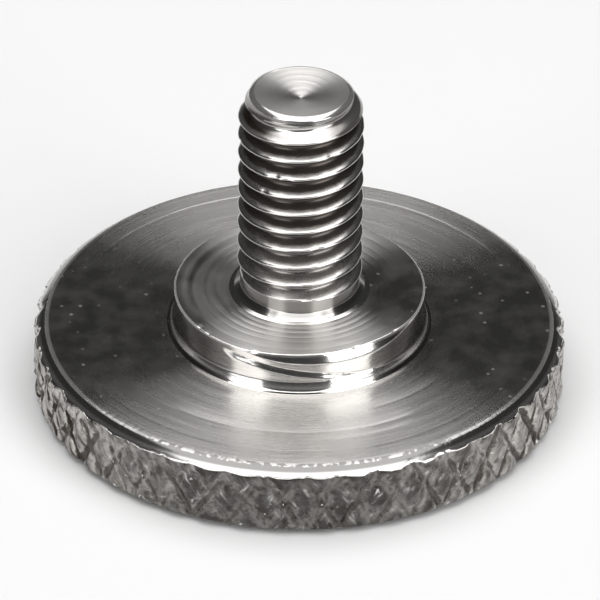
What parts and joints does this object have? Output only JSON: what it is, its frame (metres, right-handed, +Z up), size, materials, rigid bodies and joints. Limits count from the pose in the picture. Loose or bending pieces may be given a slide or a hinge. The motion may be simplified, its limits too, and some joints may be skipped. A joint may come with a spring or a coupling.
{
  "type": "thumb screw",
  "caption": "Flat round thumb screw: a thin diamond-knurled head to turn by hand, a low boss that seats on the work, and a right-hand metric threaded shank.",
  "frame": {"origin": "centre of the head's flat underside, on the surface that the screw stands on", "axes": "+Z up along the screw's axis, from the head's underside to the threaded end; +X and +Y are level, and the knurl repeats every 8 degrees about +Z"},
  "size_m": [0.0256, 0.0256, 0.0168],
  "materials": {
    "turned_steel": "turned and faced on a lathe, with fine concentric tool marks, and lightly handled"
  },
  "bodies": {
    "root": {"thumb_screw": "turned_steel"}
  },
  "joints": []
}
